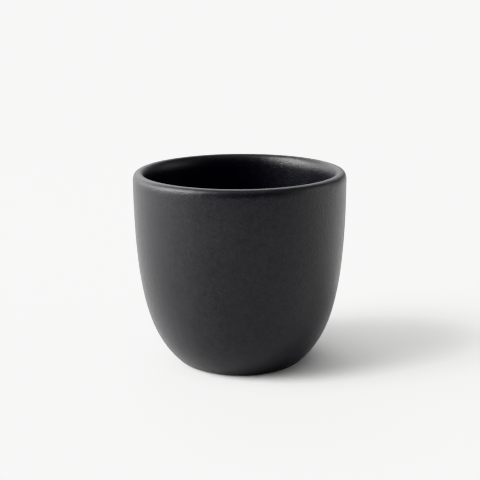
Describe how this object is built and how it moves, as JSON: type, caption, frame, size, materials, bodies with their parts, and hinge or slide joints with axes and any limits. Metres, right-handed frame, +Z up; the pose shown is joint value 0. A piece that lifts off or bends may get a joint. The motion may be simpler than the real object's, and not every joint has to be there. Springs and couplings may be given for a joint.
{
  "type": "empty candle jar",
  "caption": "Round black-glazed stoneware candle jar with a rounded lip, a straight upper wall and a curved base on a small foot ring; open top, no lid.",
  "frame": {"origin": "centre of the foot ring, on the plane that the jar stands on", "axes": "+Z up along the jar's axis, out of the mouth; the jar is turned about Z, so X and Y are any two level directions"},
  "size_m": [0.084, 0.084, 0.0764],
  "materials": {
    "bare_stoneware": "matte",
    "black_glaze": "satin"
  },
  "bodies": {
    "root": {"stoneware_body": "bare_stoneware", "glaze_coat": "black_glaze", "base_glaze": "black_glaze"}
  },
  "joints": []
}
